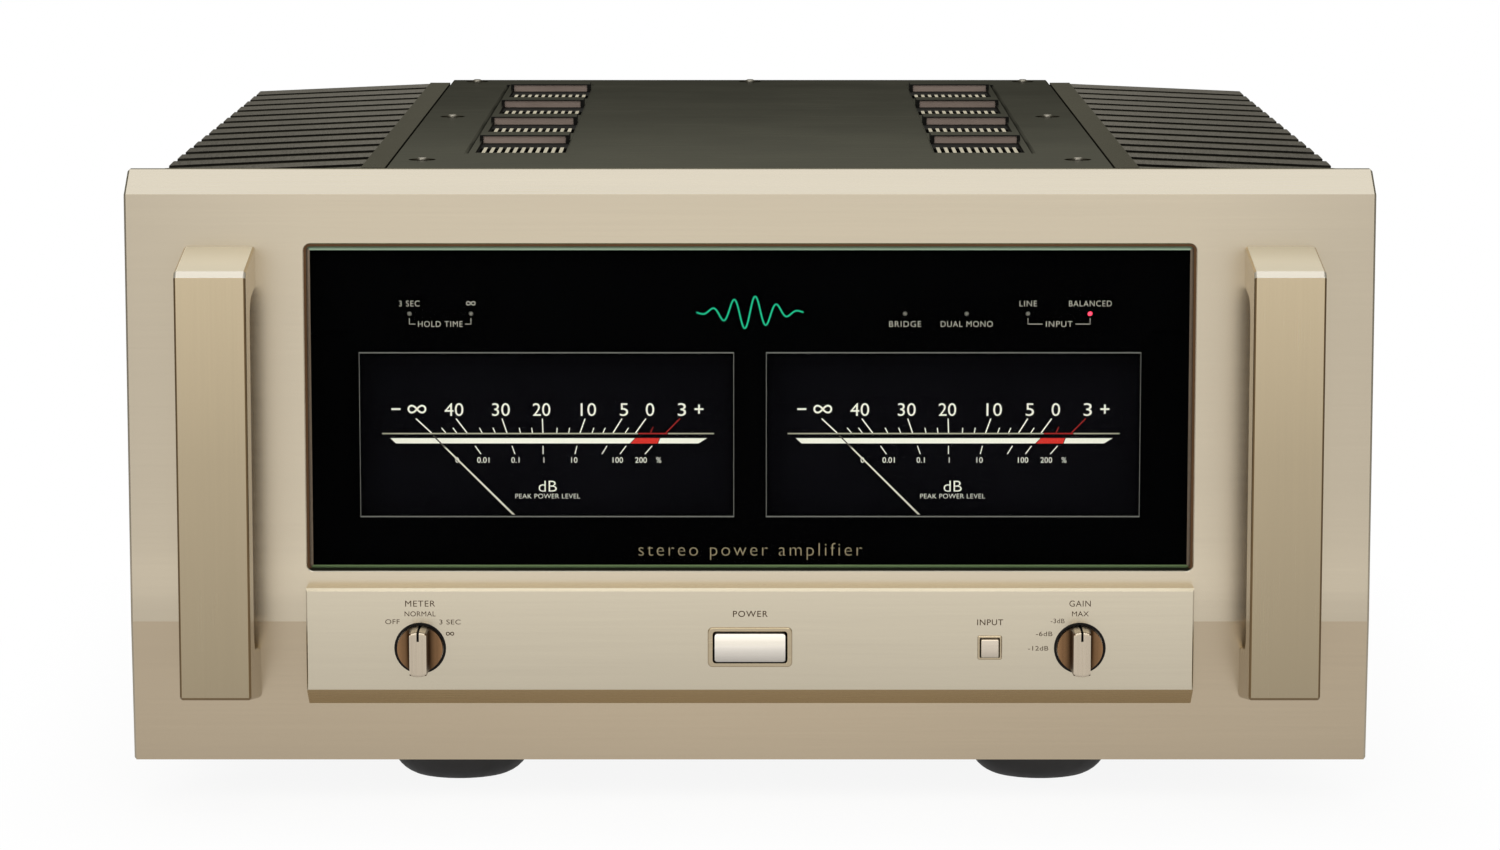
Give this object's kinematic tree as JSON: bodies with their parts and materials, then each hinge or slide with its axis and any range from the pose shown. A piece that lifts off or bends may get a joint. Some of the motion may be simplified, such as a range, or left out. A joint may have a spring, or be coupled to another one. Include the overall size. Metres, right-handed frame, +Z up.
{
  "type": "power amplifier",
  "caption": "Stereo hi-fi power amplifier with a thick front panel, bar handles, twin needle meters behind glass, finned side heatsinks and vented top cover.",
  "frame": {"origin": "floor point under the middle of the overall box", "axes": "front faces -Y, +X to the right seen from the front, +Z up"},
  "size_m": [0.465, 0.515, 0.24],
  "materials": {
    "champagne_panel": "brushed, champagne anodised",
    "pale_button": "fine satin",
    "steel_screws": "plated",
    "gasket_rubber": "matt",
    "clear_glass": "polished, chamfered edge",
    "black_mask": "matt black",
    "needle_white": "painted",
    "lamp_red": "clear domed",
    "board_green": "solder mask",
    "movement_metal": "machined",
    "plated_steel": "fine texture",
    "copper_winding": "varnished winding",
    "dark_anodised": "dark anodised, brushed",
    "vent_finish": "satin",
    "capacitor_sleeve": "shrink sleeve",
    "gold_plate": "gold plated",
    "cap_plastic": "moulded"
  },
  "bodies": {
    "chassis": {"front_panel": "champagne_panel", "control_panel": "champagne_panel", "handle_left": "champagne_panel", "handle_right": "champagne_panel", "window_gasket": "gasket_rubber", "window_glass": "clear_glass", "display_mask": "black_mask", "display_board": "board_green", "indicator_lamps": "lamp_red", "meter_dial_left": "black_mask", "meter_dial_right": "black_mask", "meter_movement_left": "movement_metal", "meter_movement_right": "movement_metal", "sub_front_plate": "plated_steel", "power_button_bezel": "champagne_panel", "power_switch": "black_mask", "input_button_bezel": "champagne_panel", "input_switch": "black_mask", "knob_rings": "black_mask", "rotary_switches": "black_mask", "heatsink_left": "dark_anodised", "heatsink_right": "dark_anodised", "bottom_plate": "plated_steel", "top_cover": "dark_anodised", "top_cover_screws": "steel_screws", "vent_grille_left": "vent_finish", "vent_grille_right": "vent_finish", "rear_panel": "plated_steel", "feet": "gasket_rubber", "transformer_case": "plated_steel", "toroidal_transformer": "copper_winding", "filter_capacitors": "capacitor_sleeve", "capacitor_clamp": "movement_metal", "rectifier_board": "board_green", "amp_board_left": "board_green", "amp_board_right": "board_green", "output_transistors": "capacitor_sleeve", "input_board": "board_green", "wiring_harness": "capacitor_sleeve", "terminal_posts": "gold_plate", "mains_inlet": "black_mask", "phono_jacks": "gold_plate", "balanced_sockets": "black_mask", "mode_switch": "black_mask", "chassis_screws": "steel_screws"},
    "needle_left": {"meter_needle_left": "needle_white"},
    "needle_right": {"meter_needle_right": "needle_white"},
    "power_button": {"power_button": "pale_button"},
    "input_button": {"input_button": "pale_button"},
    "meter_selector": {"meter_knob": "champagne_panel", "meter_knob_shaft": "steel_screws"},
    "gain_control": {"gain_knob": "champagne_panel", "gain_knob_shaft": "steel_screws"},
    "terminal_cap_1": {"terminal_cap_1": "cap_plastic"},
    "terminal_cap_2": {"terminal_cap_2": "cap_plastic"},
    "terminal_cap_3": {"terminal_cap_3": "cap_plastic"},
    "terminal_cap_4": {"terminal_cap_4": "cap_plastic"},
    "latch_left": {"latch_left": "movement_metal"},
    "latch_right": {"latch_right": "movement_metal"},
    "mode_slider": {"mode_slider": "black_mask"}
  },
  "joints": [
    {"name": "needle_left_swing", "type": "hinge", "parent": "chassis", "child": "needle_left", "pos_m": [-0.0764, -0.2065, 0.0948], "axis": [0, 1, 0], "range_deg": [0, 92]},
    {"name": "needle_right_swing", "type": "hinge", "parent": "chassis", "child": "needle_right", "pos_m": [0.0764, -0.2065, 0.0948], "axis": [0, 1, 0], "range_deg": [0, 92]},
    {"name": "power_button_push", "type": "slide", "parent": "chassis", "child": "power_button", "axis": [0, 1, 0], "range_m": [0, 0.003]},
    {"name": "input_button_push", "type": "slide", "parent": "chassis", "child": "input_button", "axis": [0, 1, 0], "range_m": [0, 0.0015]},
    {"name": "meter_selector_turn", "type": "hinge", "parent": "chassis", "child": "meter_selector", "pos_m": [-0.1234, -0.2285, 0.0603], "axis": [0, 1, 0], "range_deg": [-30, 60]},
    {"name": "gain_turn", "type": "hinge", "parent": "chassis", "child": "gain_control", "pos_m": [0.1234, -0.2285, 0.0603], "axis": [0, 1, 0], "range_deg": [-90, 0]},
    {"name": "terminal_cap_1_turn", "type": "hinge", "parent": "chassis", "child": "terminal_cap_1", "pos_m": [-0.105, 0.2395, 0.1], "axis": [0, 1, 0], "continuous": true},
    {"name": "terminal_cap_2_turn", "type": "hinge", "parent": "chassis", "child": "terminal_cap_2", "pos_m": [-0.06, 0.2395, 0.1], "axis": [0, 1, 0], "continuous": true},
    {"name": "terminal_cap_3_turn", "type": "hinge", "parent": "chassis", "child": "terminal_cap_3", "pos_m": [0.06, 0.2395, 0.1], "axis": [0, 1, 0], "continuous": true},
    {"name": "terminal_cap_4_turn", "type": "hinge", "parent": "chassis", "child": "terminal_cap_4", "pos_m": [0.105, 0.2395, 0.1], "axis": [0, 1, 0], "continuous": true},
    {"name": "latch_left_press", "type": "slide", "parent": "chassis", "child": "latch_left", "axis": [0, 0, -1], "range_m": [0, 0.0014]},
    {"name": "latch_right_press", "type": "slide", "parent": "chassis", "child": "latch_right", "axis": [0, 0, -1], "range_m": [0, 0.0014]},
    {"name": "mode_slide", "type": "slide", "parent": "chassis", "child": "mode_slider", "axis": [1, 0, 0], "range_m": [0, 0.0043]}
  ]
}
